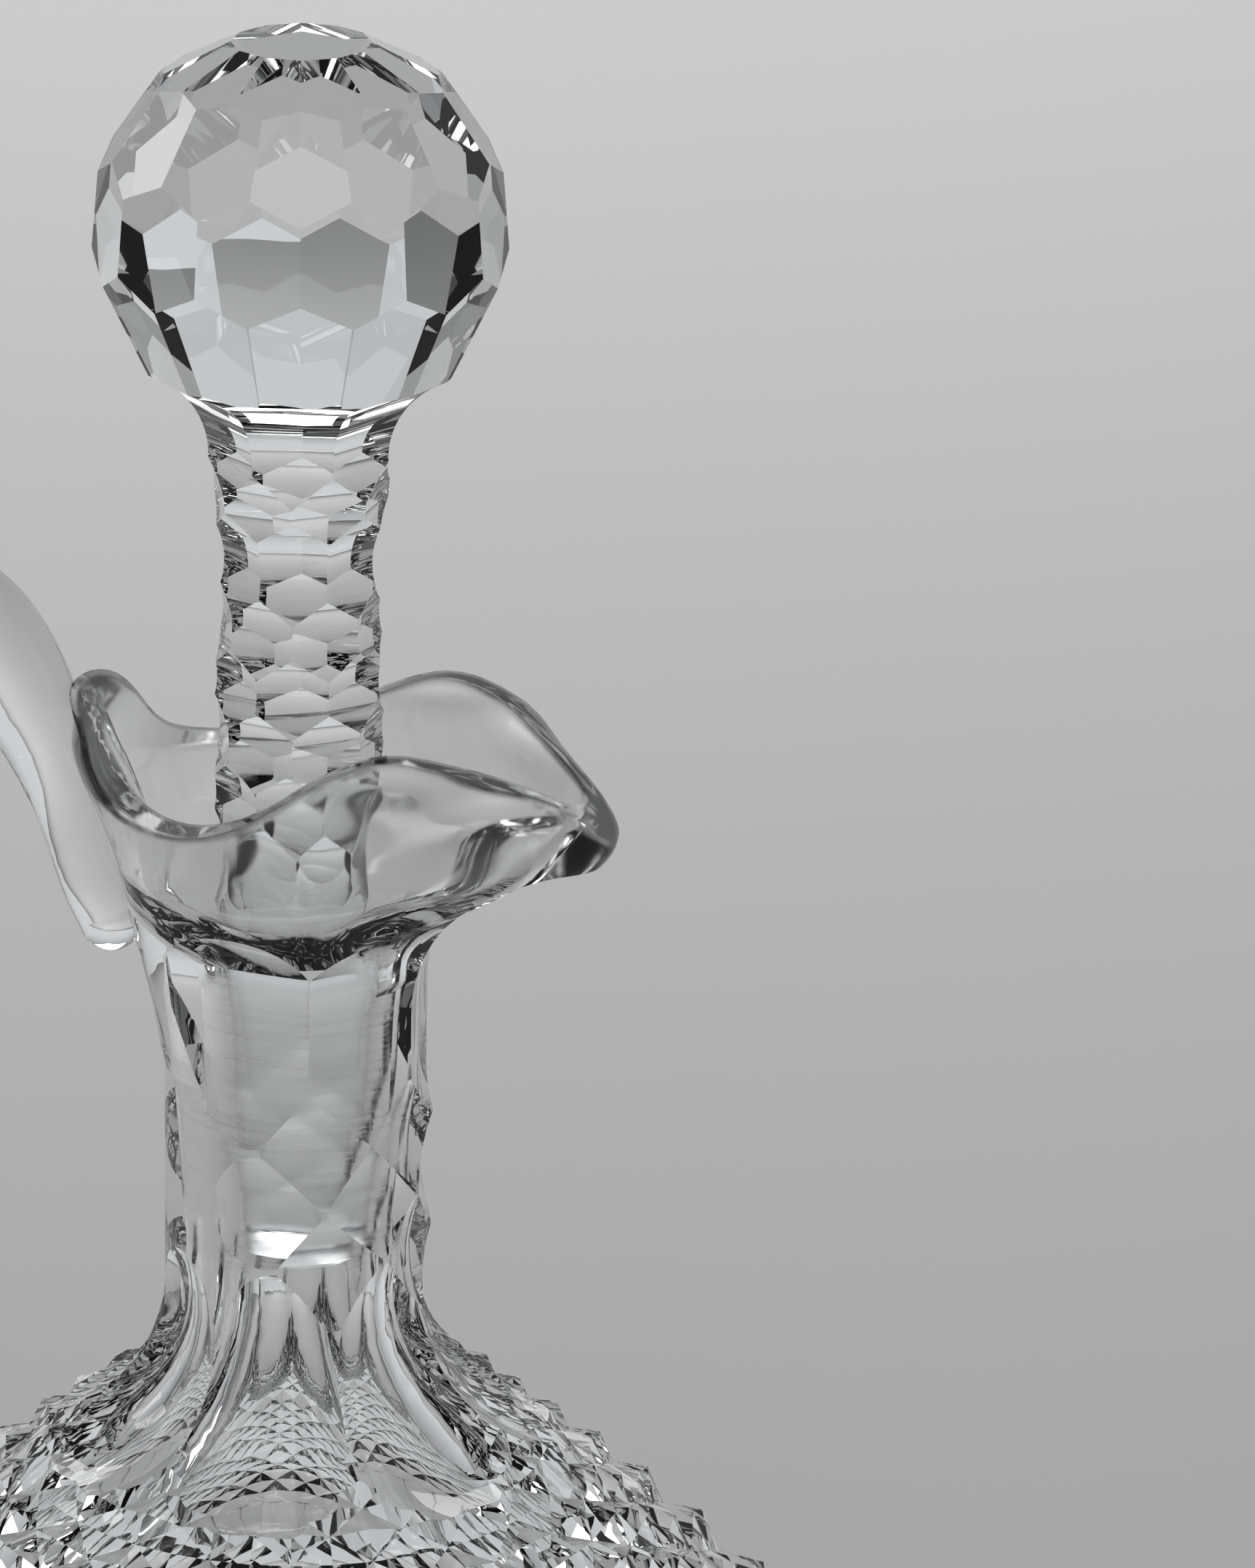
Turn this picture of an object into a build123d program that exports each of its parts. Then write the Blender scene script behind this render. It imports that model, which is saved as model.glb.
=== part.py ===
"""A cut-glass claret jug: a vessel, the handle applied to it and a stopper ground into its neck.

Millimetres, +Z up. The origin is the middle of the base, the spout points to +X and the handle
to -X. Angles are in degrees.
"""

import math
import os

from build123d import *

# Foot and lower body
foot_radius = 46.0
foot_height = 4.0
widest_radius = 75.4
widest_height = 55.0
floor_thickness = 9.0
floor_radius = 30.0
body_wall = 8.0

# Shoulder, ring groove and neck
haunch_radius = 64.9
haunch_height = 80.7
ring_radius = 35.8
ring_height = 107.0
shoulder_slope = 41.0
neck_flare = 16.0
neck_radius = 16.9
neck_top_height = 165.0

# Mouth: the sections of its outside. Each is a round back, and on each side a line through a waist
# and a haunch to a round spout
mouth_root_heights = (153.0, 160.0)
mouth_root_radii = (16.2, 16.8)
mouth_heights = (167.0, 174.0, 181.0, 188.0, 195.0, 202.0, 209.0)
mouth_backs = (18.2, 19.8, 21.6, 23.2, 26.0, 28.5, 29.0)
mouth_radii = (17.8, 18.9, 19.8, 20.7, 22.0, 22.7, 22.8)
mouth_waists = ((5.1, 16.9), (4.9, 18.0), (5.0, 18.4), (5.0, 18.7), (5.5, 18.9), (6.0, 18.8), (6.0, 18.8))
mouth_haunches = (
    (11.0, 13.6),
    (11.2, 14.5),
    (12.5, 14.6),
    (15.5, 16.0),
    (17.0, 18.0),
    (17.5, 18.8),
    (18.0, 18.8),
)
spout_reaches = (17.4, 18.0, 22.6, 36.8, 40.6, 41.2, 42.0)
spout_radii = (17.8, 18.9, 10.0, 7.0, 8.0, 9.0, 9.0)
spout_turns = (30.0, 30.0, 45.0, 59.0, 61.0, 61.0, 61.0)
throat_heights = (171.0, 178.0)
throat_radii = (8.6, 11.0)
throat_rise = 3.0
mouth_wall = 4.2
spout_floor = 4.0
# The rim seen from the side: place along the spout, and height
rim_line = (
    (-33.0, 209.0),
    (-28.5, 208.4),
    (-25.6, 206.2),
    (-23.3, 201.8),
    (-20.5, 198.3),
    (-16.5, 196.9),
    (-11.5, 196.6),
    (-5.0, 198.0),
    (2.0, 201.6),
    (9.5, 205.7),
    (15.5, 207.2),
    (21.0, 206.3),
    (28.7, 202.8),
    (35.0, 198.6),
    (39.0, 194.9),
    (45.0, 188.5),
)

# Stopper
ball_centre_height = 270.0
ball_blank_radius = 27.0
ball_top_height = 293.2
ball_cut_radius = 24.4
ball_facets = 12
# Rows of flat facets on the ball: latitude of their middle, and turn in half facets
ball_rows = ((62.0, 1), (33.5, 0), (4.5, 1), (-25.0, 0))
# The flare's outline before it is cut: radius and height
flare_line = (
    (18.4, 252.0),
    (16.5, 248.0),
    (14.3, 243.4),
    (12.7, 240.0),
    (12.4, 236.2),
    (11.0, 232.0),
    (10.6, 228.0),
)
flare_height = 241.3
flare_wheel_radius = 11.4
flare_facet_depth = 10.3
stem_facets = 7
stem_top_row = 235.0
stem_row_pitch = 7.65
stem_wheel_radius = 12.0
# From the axis to the middle of a facet, in each row from the top down
stem_row_depths = (10.0, 8.5, 9.0, 9.3, 9.4, 9.4, 9.4)
stem_wheel_width = 26.0
seat_top_height = 177.0
seat_bottom_height = 136.0
peg_top_radius = 10.6
peg_bottom_radius = 8.7
peg_clearance = 0.1
peg_chamfer = 0.8
stopper_turn = -78.0
stem_turn = 5.0

# Cutting of the vessel
cut_count = 7
cut_turn = -62.0
neck_wheel_radius = 20.0
neck_facet_depth = 15.4
neck_wheel_width = 22.0
# The neck's rows lean: their turn at the second row's height, and its change with height. The
# handle's side is left round, so a row has fewer facets than would go round
neck_turn = -70.0
neck_lean = 0.45
neck_row_heights = (153.6, 145.8, 137.4)
neck_row_facets = (4, 5, 4)
top_row_height = 161.8
top_row_travel = 8.2
top_row_facets = 5
flute_wheel_radius = 20.4
flute_crown_radius = 30.0
flute_wheel_width = 34.0
flute_centre = (35.3, 128.7)
diamond_count = 21
diamond_lean = 35.2
diamond_slope = 26.6
rows_over_ring = 4
rows_under_ring = 13
root_inset = 0.5
base_flute_radius = 20.0
base_flute_depth = 3.4
base_flute_swing = 47.0
star_points = 16
star_wheel_radius = 81.0
star_middle = 23.0
star_width = 5.0
star_depth = 1.4

# Handle: places of its middle in the plane of the spout, and its radius at each
handle_route = (
    (-24.2, 177.3),
    (-25.6, 181.5),
    (-27.3, 187.0),
    (-29.2, 193.0),
    (-32.3, 200.5),
    (-38.0, 211.4),
    (-49.5, 219.3),
    (-63.0, 217.5),
    (-74.0, 203.5),
    (-80.0, 180.0),
    (-81.5, 155.0),
    (-80.5, 130.0),
    (-77.0, 110.0),
)
handle_radii = (4.1, 4.6, 4.8, 5.0, 5.7, 6.8, 6.7, 6.4, 6.1, 5.9, 5.8, 5.8, 6.2)
# The flat seat of its lower end, on the body: its length up the outline from the widest place
seat_length = 32.0
seat_radius = 10.5
seat_stand = 1.4
seat_root = 4.0
pad_radius = 9.4
pad_neck_radius = 6.8
pad_height = 9.0

os.makedirs("parts", exist_ok=True)


def cosine(angle):
    return math.cos(math.radians(angle))


def sine(angle):
    return math.sin(math.radians(angle))


def tangent(angle):
    return math.tan(math.radians(angle))


def turned(place, angle):
    """A point of the section through the spout, turned about the upright axis."""
    return Vector(place.X * cosine(angle), place.X * sine(angle), place.Z)


# The outline that the diamonds are cut along, drawn in the section through the spout
sector = 360 / cut_count
neck_corner = ring_height + (ring_radius - neck_radius) * tangent(shoulder_slope)
flare_run = neck_flare * tangent((90 - shoulder_slope) / 2)
widest_point = (widest_radius, 0, widest_height)
haunch_point = (haunch_radius, 0, haunch_height)
ring_point = (ring_radius, 0, ring_height)
foot_point = (foot_radius, 0, foot_height)
cone_end = (
    neck_radius + flare_run * cosine(shoulder_slope),
    0,
    neck_corner - flare_run * sine(shoulder_slope),
)
with BuildLine() as upper_outline:
    belly = TangentArc(widest_point, haunch_point, tangent=(0, 0, 1))
    shoulder = TangentArc(haunch_point, ring_point, tangent=belly % 1)
    cone = Line(ring_point, cone_end)
with BuildLine() as lower_outline:
    lower_body = TangentArc(widest_point, foot_point, tangent=(0, 0, -1))


def on_outline(length):
    """Point and outward normal at a length up the outline from the widest place."""
    wire = upper_outline.wire() if length >= 0 else lower_outline.wire()
    place = wire.position_at(abs(length), position_mode=PositionMode.LENGTH)
    along = wire.tangent_at(abs(length), position_mode=PositionMode.LENGTH)
    if length < 0:
        along = along * -1
    return place, Vector(along.Z, 0, -along.X)


def diamond_levels():
    """Levels of the diamonds from the top down, each its place on the surface and the groove's floor."""

    def row_height(length):
        return math.pi * on_outline(length)[0].X / diamond_count * tangent(diamond_lean)

    lengths = [belly.length + shoulder.length]
    for _ in range(rows_over_ring):
        lengths.insert(0, lengths[0] + row_height(lengths[0]))
    for _ in range(rows_under_ring):
        lengths.append(lengths[-1] - row_height(lengths[-1]))
    levels = []
    for length in lengths:
        place, out = on_outline(length)
        depth = math.pi * place.X / diamond_count * sine(diamond_lean) * tangent(diamond_slope)
        levels.append((place, place - out * depth))
    return levels


def diamond_band(levels):
    """A closed solid whose side is the pyramids left between two slanting families of grooves.

    On each level, tips on the surface and crossings on the grooves' floor take turns. The top
    level, the ring and the bottom level are grooves all round.
    """
    columns = 2 * diamond_count
    rings = (0, rows_over_ring, len(levels) - 1)
    points = []
    for row, (tip, floor) in enumerate(levels):
        places = [
            tip if (row + column) % 2 and row not in rings else floor for column in range(columns)
        ]
        points.append([
            turned(place, cut_turn + column * 180 / diamond_count)
            for column, place in enumerate(places)
        ])
    faces = [Face(Wire.make_polygon(points[0])), Face(Wire.make_polygon(points[-1]))]
    for row in range(len(levels) - 1):
        for column in range(columns):
            beside = (column + 1) % columns
            corners = (
                points[row][column],
                points[row][beside],
                points[row + 1][beside],
                points[row + 1][column],
            )
            # Each cell folds along the groove through it, from crossing to crossing
            first = (row + column) % 2
            a, b, c, d = (corners[(first + k) % 4] for k in range(4))
            faces.append(Face(Wire.make_polygon((a, b, c))))
            faces.append(Face(Wire.make_polygon((a, c, d))))
    return Solid(Shell(faces))


levels = diamond_levels()
band_top = levels[0][1]
band_bottom = levels[-1][1]

# One hollow flute of the lower body: the wheel's rim swung along the body's curve
with BuildPart() as base_flute:
    body_centre = lower_body.arc_center
    swing = lower_body.radius + base_flute_radius - base_flute_depth
    with BuildSketch(Plane.XY.offset(body_centre.Z)):
        with Locations((body_centre.X + swing, 0)):
            Circle(base_flute_radius)
    revolve(axis=Axis(body_centre, (0, 1, 0)), revolution_arc=base_flute_swing)
    swing_end = Vector(swing * cosine(base_flute_swing), 0, -swing * sine(base_flute_swing))
    with Locations(body_centre + swing_end):
        Sphere(base_flute_radius)

# The mitre wheel that cuts one groove of the star under the base
with BuildPart() as star_wheel:
    with BuildSketch(Plane.YZ.offset(star_middle)):
        with BuildLine():
            Polyline((-star_width, -star_depth), (0, star_depth), (star_width, -star_depth), close=True)
        make_face()
    revolve(axis=Axis((star_middle, 0, star_depth - star_wheel_radius), (0, 1, 0)))

# The lower body, up to the last groove under the diamonds
groove_depth = (levels[-1][0] - band_bottom).length
with BuildPart() as lower_part:
    with BuildSketch(Plane.XZ):
        with BuildLine():
            Line((0, widest_height), (widest_radius, widest_height))
            side = TangentArc((widest_radius, widest_height), (foot_radius, foot_height), tangent=(0, -1))
            Polyline(side @ 1, (foot_radius, 0), (0, 0), (0, widest_height))
        make_face()
        with BuildLine():
            Polyline(
                (band_bottom.X, band_bottom.Z),
                (widest_radius, band_bottom.Z - groove_depth),
                (2 * widest_radius, band_bottom.Z),
                (2 * widest_radius, 2 * widest_height),
                (0, 2 * widest_height),
                (0, band_bottom.Z),
                close=True,
            )
        make_face(mode=Mode.SUBTRACT)
    revolve(axis=Axis.Z)
    with PolarLocations(0, diamond_count, start_angle=cut_turn):
        add(base_flute.part, mode=Mode.SUBTRACT)
    with PolarLocations(0, star_points):
        add(star_wheel.part, mode=Mode.SUBTRACT)


def mouth_outline(back, radius, waist, haunch, reach, tip_radius, turn):
    """Draw the left half of a mouth's section: round back, waist and haunch, and round spout."""
    middle = radius - back
    tip = reach - tip_radius
    lip = (tip + tip_radius * cosine(turn), tip_radius * sine(turn))
    half_lip = (tip + tip_radius * cosine(turn / 2), tip_radius * sine(turn / 2))
    ThreePointArc((-back, 0), (middle - radius * cosine(45), radius * sine(45)), (middle, radius))
    Spline((middle, radius), waist, haunch, lip, tangents=((1, 0), (sine(turn), -cosine(turn))))
    ThreePointArc(lip, half_lip, (reach, 0))
    Line((reach, 0), (-back, 0))


def round_outline(radius):
    """Draw half a circle in the same four stretches as a mouth's section."""
    waist, haunch = ((radius * cosine(angle), radius * sine(angle)) for angle in (72, 50))
    mouth_outline(radius, radius, waist, haunch, radius, radius, 30)


# The mouth's outside, drawn up out of the neck
sections = tuple(zip(
    mouth_heights,
    mouth_backs,
    mouth_radii,
    mouth_waists,
    mouth_haunches,
    spout_reaches,
    spout_radii,
    spout_turns,
))
with BuildPart() as mouth_outside:
    for height, radius in zip(mouth_root_heights, mouth_root_radii):
        with BuildSketch(Plane.XY.offset(height)):
            with BuildLine():
                round_outline(radius)
            make_face()
    for height, *section in sections:
        with BuildSketch(Plane.XY.offset(height)):
            with BuildLine():
                mouth_outline(*section)
            make_face()
    loft()
    mirror(about=Plane.XZ)

# The mouth's inside, down into the throat where the ground seat begins
with BuildPart() as mouth_inside:
    for height, radius in zip(throat_heights, throat_radii):
        with BuildSketch(Plane.XY.offset(height)):
            with BuildLine():
                round_outline(radius)
            make_face()
    for height, back, radius, waist, haunch, reach, tip_radius, turn in sections[2:]:
        with BuildSketch(Plane.XY.offset(height + spout_floor)):
            with BuildLine():
                mouth_outline(
                    back - mouth_wall,
                    radius - mouth_wall,
                    (waist[0], waist[1] - mouth_wall),
                    (haunch[0] - mouth_wall / 4, haunch[1] - mouth_wall),
                    reach - mouth_wall,
                    tip_radius - mouth_wall / 2,
                    turn,
                )
            make_face()
    loft()
    mirror(about=Plane.XZ)

# The crowned wheel that cuts a flute
with BuildPart() as flute_wheel:
    with BuildSketch(Plane.XY.offset(flute_centre[1])):
        with BuildLine():
            side_radius = flute_wheel_radius - flute_crown_radius + math.sqrt(
                flute_crown_radius**2 - (flute_wheel_width / 2) ** 2
            )
            crown = ThreePointArc(
                (flute_centre[0] + side_radius, -flute_wheel_width / 2),
                (flute_centre[0] + flute_wheel_radius, 0),
                (flute_centre[0] + side_radius, flute_wheel_width / 2),
            )
            Polyline(
                crown @ 1,
                (flute_centre[0], flute_wheel_width / 2),
                (flute_centre[0], -flute_wheel_width / 2),
                crown @ 0,
            )
        make_face()
    revolve(axis=Axis((flute_centre[0], 0, flute_centre[1]), (0, 1, 0)))

# The wheel of the neck's top row, drawn upwards
with BuildPart() as slot_wheel:
    with BuildSketch(Plane.XZ):
        with Locations((neck_facet_depth + neck_wheel_radius, top_row_height + top_row_travel / 2)):
            SlotCenterToCenter(top_row_travel, 2 * neck_wheel_radius, rotation=90)
    extrude(amount=neck_wheel_width / 2, both=True)

# The inside: the ground seat in the neck, opening into the body
inner_lengths = (66.0, 54.0, 42.0, 30.0, 15.0, 0.0, -15.0, -30.0, -45.0)
inner_line = [on_outline(length)[0] - on_outline(length)[1] * body_wall for length in inner_lengths]
with BuildPart() as inside:
    with BuildSketch(Plane.XZ):
        with BuildLine():
            hollow = Spline(
                (peg_bottom_radius + peg_clearance, seat_bottom_height - peg_chamfer),
                *[(place.X, place.Z) for place in inner_line],
                (floor_radius, floor_thickness),
                tangents=((0, -1), (-1, 0)),
            )
            Polyline(
                hollow @ 1,
                (0, floor_thickness),
                (0, seat_top_height + throat_rise),
                (peg_top_radius + peg_clearance, seat_top_height + throat_rise),
                (peg_top_radius + peg_clearance, seat_top_height),
                (peg_bottom_radius + peg_clearance, seat_bottom_height),
                hollow @ 0,
            )
        make_face()
    revolve(axis=Axis.Z)

# The flat seat of the handle's lower end, at the back of the shoulder
seat_point, seat_out = on_outline(seat_length)
seat_plane = Plane(
    turned(seat_point + seat_out * seat_stand, 180),
    x_dir=(0, 1, 0),
    z_dir=turned(seat_out, 180),
)

# The neck, and the cone it stands on down to the groove over the diamonds
slope_up = Vector(-cosine(shoulder_slope), 0, sine(shoulder_slope))
groove_top = levels[0][0] + slope_up * (levels[0][0] - levels[1][0]).length
with BuildPart() as vessel:
    with BuildSketch(Plane.XZ):
        with BuildLine():
            root = band_top.X - root_inset
            Polyline((0, band_top.Z - root_inset), (root, band_top.Z - root_inset), (root, band_top.Z))
            Polyline((root, band_top.Z), (groove_top.X, groove_top.Z), (cone_end[0], cone_end[2]))
            fillet_arc = TangentArc(
                (cone_end[0], cone_end[2]),
                (neck_radius, neck_corner + flare_run),
                tangent=(slope_up.X, slope_up.Z),
            )
            Polyline(
                fillet_arc @ 1,
                (neck_radius, neck_top_height),
                (0, neck_top_height),
                (0, band_top.Z - root_inset),
            )
        make_face()
    revolve(axis=Axis.Z)
    add(mouth_outside.part)
    add(diamond_band(levels))
    # Arched flutes over the ring
    with PolarLocations(0, cut_count, start_angle=cut_turn + sector / 2):
        add(flute_wheel.part, mode=Mode.SUBTRACT)
    # Staggered rows of hollow facets on the neck, the top row drawn out upwards
    for height, facets in zip(neck_row_heights, neck_row_facets):
        first = neck_turn - neck_lean * (height - neck_row_heights[0]) - (facets - 4) * sector / 2
        with PolarLocations(0, facets, start_angle=first, angular_range=facets * sector):
            with Locations((neck_facet_depth + neck_wheel_radius, 0, height)):
                Cylinder(neck_wheel_radius, neck_wheel_width, rotation=(90, 0, 0), mode=Mode.SUBTRACT)
    first = neck_turn - neck_lean * (top_row_height - neck_row_heights[0]) - sector / 2
    with PolarLocations(0, top_row_facets, start_angle=first, angular_range=top_row_facets * sector):
        add(slot_wheel.part, mode=Mode.SUBTRACT)
    add(lower_part.part)
    with Locations(seat_plane):
        Cylinder(
            seat_radius,
            seat_stand + seat_root,
            align=(Align.CENTER, Align.CENTER, Align.MAX),
        )
    add(inside.part, mode=Mode.SUBTRACT)
    add(mouth_inside.part, mode=Mode.SUBTRACT)
    # The saddle of the rim
    with BuildSketch(Plane.XZ):
        with BuildLine():
            saddle = Spline(*rim_line)
            over = 2 * mouth_heights[-1] - mouth_heights[0]
            Polyline(saddle @ 1, ((saddle @ 1).X, over), ((saddle @ 0).X, over), saddle @ 0)
        make_face()
    extrude(amount=2 * mouth_radii[-1], both=True, mode=Mode.SUBTRACT)

# The ball of the stopper, flat facets in staggered rows
with BuildPart() as ball:
    with Locations((0, 0, ball_centre_height)):
        Sphere(ball_blank_radius)
    for latitude, turn in ball_rows:
        for facet in range(ball_facets):
            angle = stopper_turn + (facet + turn / 2) * 360 / ball_facets
            out = Vector(cosine(latitude) * cosine(angle), cosine(latitude) * sine(angle), sine(latitude))
            middle = Vector(0, 0, ball_centre_height) + out * ball_cut_radius
            split(bisect_by=Plane(middle, z_dir=out), keep=Keep.BOTTOM)
    split(bisect_by=Plane.XY.offset(ball_top_height), keep=Keep.BOTTOM)
    split(bisect_by=Plane.XY.offset(flare_height), keep=Keep.TOP)

# The whole stopper: flare, stem and ground peg under the ball
with BuildPart() as stopper:
    with BuildSketch(Plane.XZ):
        with BuildLine():
            flare = Spline(*flare_line, tangents=((-0.45, -1), (0, -1)))
            Polyline(
                flare @ 1,
                (flare_line[-1][0], seat_top_height),
                (peg_bottom_radius, seat_bottom_height),
                (0, seat_bottom_height),
                (0, flare_line[0][1]),
                flare @ 0,
            )
        make_face()
    revolve(axis=Axis.Z)
    chamfer(edges().group_by(Axis.Z)[0], length=peg_chamfer)
    add(ball.part)
    with PolarLocations(0, stem_facets, start_angle=stopper_turn - stem_turn):
        with Locations((flare_facet_depth + flare_wheel_radius, 0, flare_height)):
            Cylinder(flare_wheel_radius, stem_wheel_width, rotation=(90, 0, 0), mode=Mode.SUBTRACT)
    for row, depth in enumerate(stem_row_depths):
        start = stopper_turn - stem_turn + (row + 1) % 2 * 180 / stem_facets
        with PolarLocations(0, stem_facets, start_angle=start):
            with Locations((depth + stem_wheel_radius, 0, stem_top_row - row * stem_row_pitch)):
                Cylinder(stem_wheel_radius, stem_wheel_width, rotation=(90, 0, 0), mode=Mode.SUBTRACT)
stopper.part.label = "stopper"

# The handle: a rod carried from the back of the mouth to its seat on the shoulder
seat_middle = seat_plane.origin
pad_middle = seat_middle + seat_plane.z_dir * pad_height
with BuildLine() as handle_path:
    Spline(
        *[(x, 0, z) for x, z in handle_route],
        pad_middle,
        seat_middle,
        tangents=(Vector(-0.3, 0, 1), seat_plane.z_dir * -1),
    )
with BuildPart() as handle:
    rod = handle_path.edge()
    stations = [Vector(x, 0, z) for x, z in handle_route] + [pad_middle, seat_middle]
    for station, radius in zip(stations, (*handle_radii, pad_neck_radius, pad_radius)):
        along = rod.tangent_at(rod.param_at_point(station))
        with BuildSketch(Plane(station, x_dir=(0, 1, 0), z_dir=along)):
            Circle(radius)
    loft()
    with Locations(stations[0]):
        Sphere(handle_radii[0])
    add(vessel.part, mode=Mode.SUBTRACT)
handle.part.label = "handle"
vessel.part.label = "vessel"

export_step(vessel.part, "parts/vessel.step")
export_step(handle.part, "parts/handle.step")
export_step(stopper.part, "parts/stopper.step")
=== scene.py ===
"""Looks of the cut-glass claret jug: clear lead glass with wheel-cut facets and a ground stopper.

Metres, in the row's frame. +Z is up, the spout points to +X and the handle to -X.
"""

import math

import bpy
from mathutils import Matrix, Vector

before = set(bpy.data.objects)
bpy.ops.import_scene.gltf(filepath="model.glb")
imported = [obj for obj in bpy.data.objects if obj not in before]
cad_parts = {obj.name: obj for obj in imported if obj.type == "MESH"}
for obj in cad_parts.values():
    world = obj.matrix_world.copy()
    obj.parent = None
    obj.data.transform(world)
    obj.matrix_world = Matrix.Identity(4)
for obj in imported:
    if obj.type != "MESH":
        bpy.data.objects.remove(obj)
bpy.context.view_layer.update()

# Lead glass: how it bends light, its surface, and the slightly cool tint that it takes with depth
glass_ior = 1.545
glass_surface = (0.985, 0.99, 0.992, 1)
glass_tint = (0.8, 0.86, 0.9, 1)
tint_density = 1.6
# The film of wear: patches to a metre, the noise that counts as worn, and how rough it gets
film_scale = 42.0
film_span = (0.52, 0.8)
film_roughness = 0.05
# The waves of the fire polish, to a metre, and how deep they are on each piece
wave_scale = 55.0
vessel_wave = 0.00012
handle_wave = 0.0005
stopper_wave = 0.00003
# The ground seat: its lowest and highest place, and how far its bore and its peg are from the axis
seat_bottom = 0.1355
seat_top = 0.177
seat_reach = 0.0112
# How soft the seat's ends are, and its edge away from the axis
seat_end_soft = 0.0008
seat_edge_soft = 0.0002
# The seat's scratches, which run round it: how close, the noise they span, how rough and how deep
scratch_scale = (60.0, 60.0, 1500.0)
scratch_span = (0.35, 0.7)
seat_roughness = (0.08, 0.28)
scratch_depth = 0.00004
# Where the mouth's edges are melted round, the height over which that begins, and how round
rim_bottom = 0.19
rim_start = 0.002
rim_radius = 0.0016
rim_samples = 6


def ramp(tree, value, span, ends=(0.0, 1.0)):
    """Map a value over the span to one between the ends, and hold it there."""
    node = tree.nodes.new("ShaderNodeMapRange")
    node.inputs["From Min"].default_value, node.inputs["From Max"].default_value = span
    node.inputs["To Min"].default_value, node.inputs["To Max"].default_value = ends
    tree.links.new(value, node.inputs["Value"])
    return node


def product(tree, first, second):
    """Multiply two values."""
    node = tree.nodes.new("ShaderNodeMath")
    node.operation = "MULTIPLY"
    tree.links.new(first, node.inputs[0])
    tree.links.new(second, node.inputs[1])
    return node.outputs["Value"]


def noise(tree, place, scale, detail, roughness=0.5):
    """Soft noise at a place."""
    node = tree.nodes.new("ShaderNodeTexNoise")
    node.inputs["Scale"].default_value = scale
    node.inputs["Detail"].default_value = detail
    node.inputs["Roughness"].default_value = roughness
    tree.links.new(place, node.inputs["Vector"])
    return node.outputs["Fac"]


def between(tree, value, low, high, soft):
    """A mask of 1 where the value lies from low to high, with edges this soft."""
    rise = ramp(tree, value, (low - soft, low + soft))
    fall = ramp(tree, value, (high - soft, high + soft), (1.0, 0.0))
    return product(tree, rise.outputs["Result"], fall.outputs["Result"])


def height_of(tree, place):
    """The height of a place."""
    parts = tree.nodes.new("ShaderNodeSeparateXYZ")
    tree.links.new(place, parts.inputs["Vector"])
    return parts.outputs["Z"]


def reach_of(tree, place):
    """How far a place is from the axis."""
    across = tree.nodes.new("ShaderNodeVectorMath")
    across.operation = "MULTIPLY"
    across.inputs[1].default_value = (1.0, 1.0, 0.0)
    tree.links.new(place, across.inputs[0])
    reach = tree.nodes.new("ShaderNodeVectorMath")
    reach.operation = "LENGTH"
    tree.links.new(across.outputs["Vector"], reach.inputs[0])
    return reach.outputs["Value"]


def wear_film(tree, place):
    """The roughness of the film of wear: patches of it are a little less clear."""
    film = noise(tree, place, film_scale, 6.0, 0.7)
    return ramp(tree, film, film_span, (0.0, film_roughness)).outputs["Result"]


def fire_polish(tree, place, wave):
    """The normal of a surface with faint waves of this depth."""
    ripple = tree.nodes.new("ShaderNodeBump")
    ripple.inputs["Distance"].default_value = wave
    tree.links.new(noise(tree, place, wave_scale, 1.0), ripple.inputs["Height"])
    return ripple.outputs["Normal"]


def melted_rim(tree, place, normal):
    """Shade the edges over the neck as round, by as much as the rim's radius."""
    over = ramp(tree, height_of(tree, place), (rim_bottom, rim_bottom + rim_start), (0.0, rim_radius))
    rounded = tree.nodes.new("ShaderNodeBevel")
    rounded.samples = rim_samples
    tree.links.new(over.outputs["Result"], rounded.inputs["Radius"])
    tree.links.new(normal, rounded.inputs["Normal"])
    return rounded.outputs["Normal"]


def ground_seat(tree, place, roughness, normal):
    """Make the ground seat satin, with scratches round it that differ in depth."""
    height = between(tree, height_of(tree, place), seat_bottom, seat_top, seat_end_soft)
    inner = between(tree, reach_of(tree, place), 0.0, seat_reach, seat_edge_soft)
    ground = product(tree, height, inner)
    rings = tree.nodes.new("ShaderNodeMapping")
    rings.inputs["Scale"].default_value = scratch_scale
    tree.links.new(place, rings.inputs["Vector"])
    scratches = noise(tree, rings.outputs["Vector"], 1.0, 4.0)
    satin = ramp(tree, scratches, scratch_span, seat_roughness)
    rough = tree.nodes.new("ShaderNodeMix")
    rough.data_type = "FLOAT"
    tree.links.new(ground, rough.inputs["Factor"])
    tree.links.new(roughness, rough.inputs["A"])
    tree.links.new(satin.outputs["Result"], rough.inputs["B"])
    scored = tree.nodes.new("ShaderNodeBump")
    scored.inputs["Distance"].default_value = scratch_depth
    tree.links.new(ground, scored.inputs["Strength"])
    tree.links.new(scratches, scored.inputs["Height"])
    tree.links.new(normal, scored.inputs["Normal"])
    return rough.outputs["Result"], scored.outputs["Normal"]


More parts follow.
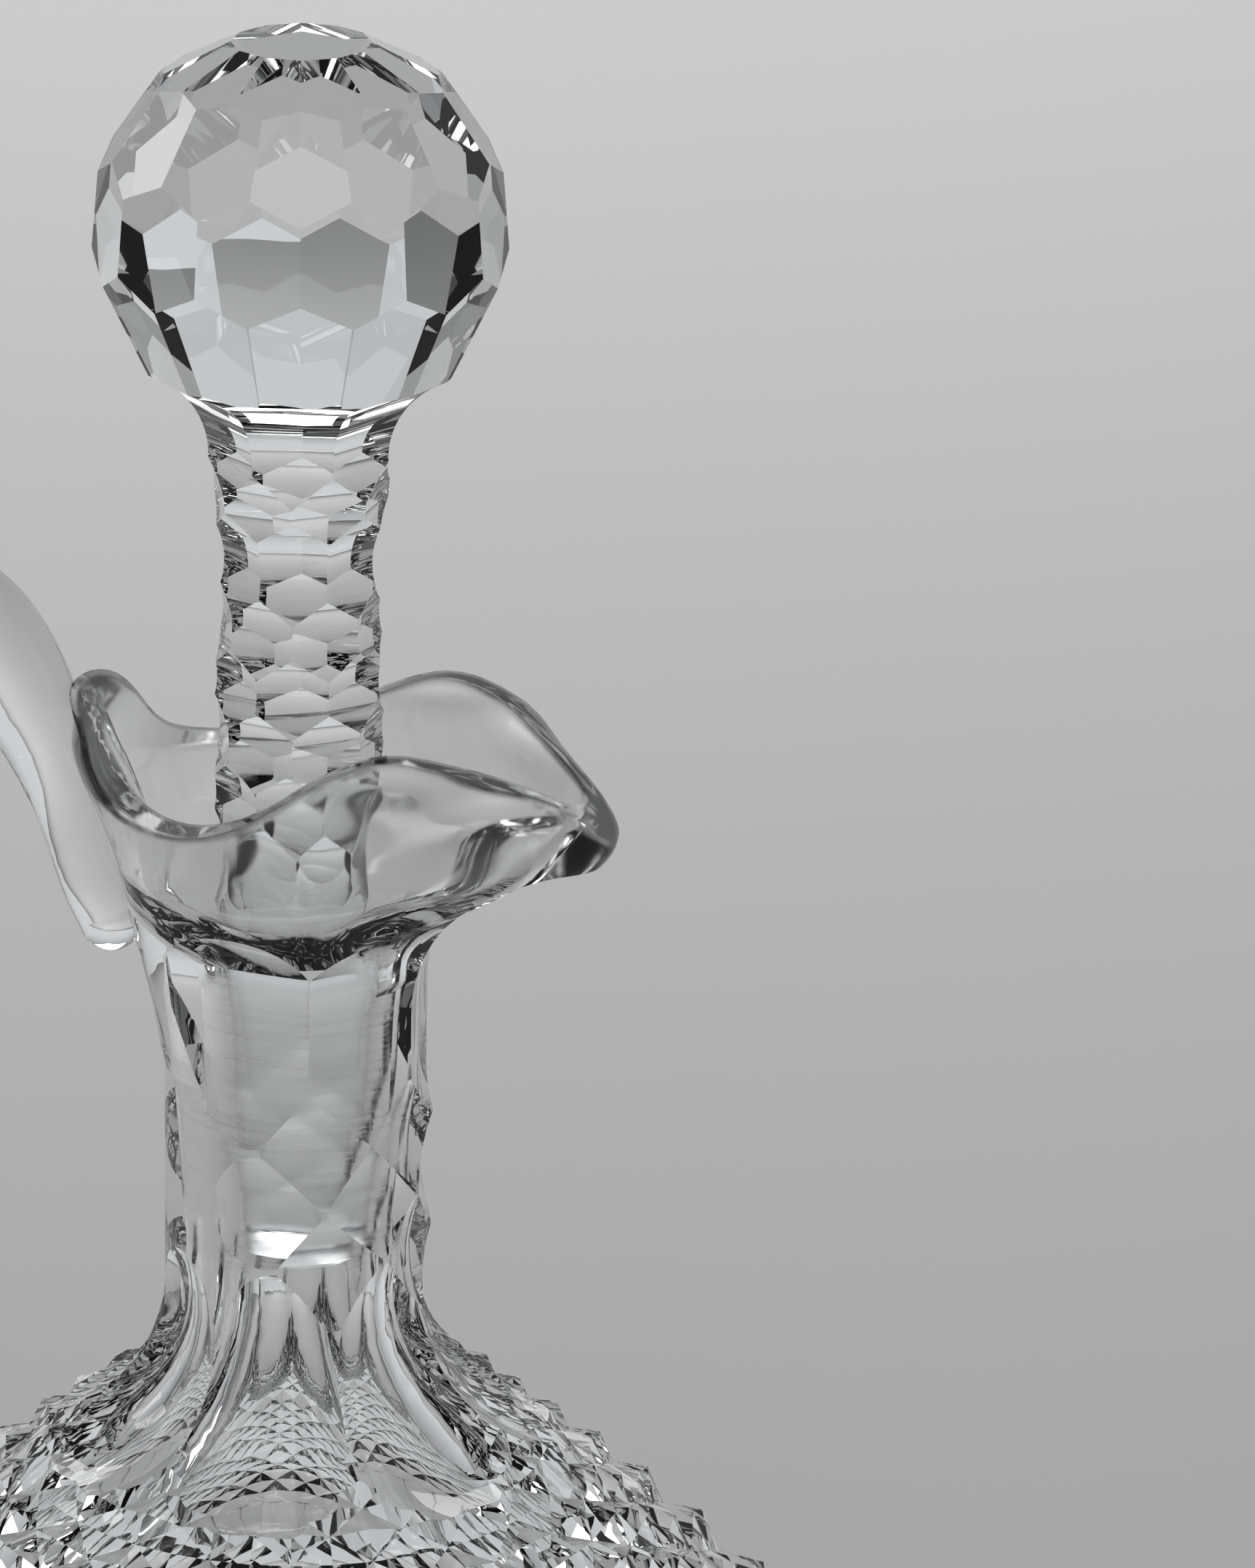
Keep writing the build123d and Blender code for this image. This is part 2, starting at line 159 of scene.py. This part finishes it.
def glass(name, wave, seat=False, rim=False):
    """Clear lead glass with a film of wear and waves of this depth.

    seat says that the piece has a part of the ground seat, and rim that its mouth's edges are melted.
    """
    material = bpy.data.materials.new(name)
    material.use_nodes = True
    tree = material.node_tree
    shader = tree.nodes["Principled BSDF"]
    shader.inputs["Base Color"].default_value = glass_surface
    shader.inputs["Transmission Weight"].default_value = 1.0
    shader.inputs["IOR"].default_value = glass_ior
    place = tree.nodes.new("ShaderNodeTexCoord").outputs["Object"]
    roughness = wear_film(tree, place)
    normal = fire_polish(tree, place, wave)
    if rim:
        normal = melted_rim(tree, place, normal)
    if seat:
        roughness, normal = ground_seat(tree, place, roughness, normal)
    tree.links.new(roughness, shader.inputs["Roughness"])
    tree.links.new(normal, shader.inputs["Normal"])
    body = tree.nodes.new("ShaderNodeVolumeAbsorption")
    body.inputs["Color"].default_value = glass_tint
    body.inputs["Density"].default_value = tint_density
    tree.links.new(body.outputs["Volume"], tree.nodes["Material Output"].inputs["Volume"])
    return material


vessel_glass = glass("vessel_glass", vessel_wave, seat=True, rim=True)
handle_glass = glass("handle_glass", handle_wave)
stopper_glass = glass("stopper_glass", stopper_wave, seat=True)
for node, material in (("vessel", vessel_glass), ("handle", handle_glass), ("stopper", stopper_glass)):
    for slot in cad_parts[node].material_slots:
        slot.link = "OBJECT"
        slot.material = material


def plain_floor(half_side, colour):
    """A square stage floor at the jug's foot, the same colour all over."""
    signs = ((-1, -1), (1, -1), (1, 1), (-1, 1))
    corners = [(across * half_side, along * half_side, 0) for across, along in signs]
    mesh = bpy.data.meshes.new("floor")
    mesh.from_pydata(corners, [], [(0, 1, 2, 3)])
    sheet = bpy.data.objects.new("floor", mesh)
    bpy.context.scene.collection.objects.link(sheet)
    material = bpy.data.materials.new("floor")
    material.use_nodes = True
    shader = material.node_tree.nodes["Principled BSDF"]
    shader.inputs["Base Color"].default_value = (*colour, 1)
    shader.inputs["Roughness"].default_value = 0.9
    mesh.materials.append(material)


plain_floor(3.0, (0.62, 0.62, 0.61))

# The studio's light by direction: how far back it is palest, how high it dims, and its least level
behind_span = (-0.35, 0.95)
overhead_span = (0.1, 0.9)
overhead_levels = (0.6, 0.08)
least_level = 0.08
studio_colour = (0.96, 0.98, 1.0, 1)


def studio_world():
    """A studio that is palest behind the jug and dimmer towards the camera and overhead.

    Its level is the least level, plus behind times overhead. Behind goes from 0 to 1 as a direction
    turns to the back, and overhead goes down its levels as the direction rises.
    """
    world = bpy.data.worlds.new("studio")
    bpy.context.scene.world = world
    world.use_nodes = True
    tree = world.node_tree
    parts = tree.nodes.new("ShaderNodeSeparateXYZ")
    tree.links.new(tree.nodes.new("ShaderNodeTexCoord").outputs["Generated"], parts.inputs["Vector"])
    behind = ramp(tree, parts.outputs["Y"], behind_span)
    behind.interpolation_type = "SMOOTHSTEP"
    overhead = ramp(tree, parts.outputs["Z"], overhead_span, overhead_levels)
    level = tree.nodes.new("ShaderNodeMath")
    level.operation = "MULTIPLY_ADD"
    level.inputs[2].default_value = least_level
    tree.links.new(behind.outputs["Result"], level.inputs[0])
    tree.links.new(overhead.outputs["Result"], level.inputs[1])
    background = tree.nodes["Background"]
    background.inputs["Color"].default_value = studio_colour
    tree.links.new(level.outputs["Value"], background.inputs["Strength"])


studio_world()


def soft_lamp(name, place, aim, size, power):
    """A square soft white lamp at a place, turned to face a point."""
    lamp = bpy.data.lights.new(name, "AREA")
    lamp.size = size
    lamp.energy = power
    item = bpy.data.objects.new(name, lamp)
    item.location = place
    item.rotation_euler = (Vector(aim) - Vector(place)).to_track_quat("-Z", "Y").to_euler()
    bpy.context.scene.collection.objects.link(item)


soft_lamp("window_back", (-0.3, 1.55, 1.35), (-0.12, 1.4, 0), 1.5, 21)
soft_lamp("window_left", (-1.5, 0.3, 0.9), (0, 0, 0.2), 0.5, 2.5)
soft_lamp("fill_front", (0.5, -1.5, 1.9), (0, -0.6, 0), 1.4, 8)

# The camera: 12 degrees round from the side of the jug, looking down
camera_round = math.radians(12.0)
camera_reach = 1.1
camera_height = 0.596
look_down = math.radians(19.91)
look_right = math.radians(2.14)
camera_roll = math.radians(0.9)
camera = bpy.data.cameras.new("camera")
camera.lens = 214.6
camera.sensor_width = 36.0
camera.clip_end = 50.0
camera_item = bpy.data.objects.new("camera", camera)
bpy.context.scene.collection.objects.link(camera_item)
bpy.context.scene.camera = camera_item
camera_item.location = (
    camera_reach * math.sin(camera_round),
    -camera_reach * math.cos(camera_round),
    camera_height,
)
level_aim = Matrix.Rotation(camera_round - look_right, 3, "Z")
aim = level_aim @ Matrix.Rotation(math.pi / 2 - look_down, 3, "X")
camera_item.rotation_euler = (aim @ Matrix.Rotation(camera_roll, 3, "Z")).to_euler()
bpy.context.scene.view_settings.view_transform = "Standard"
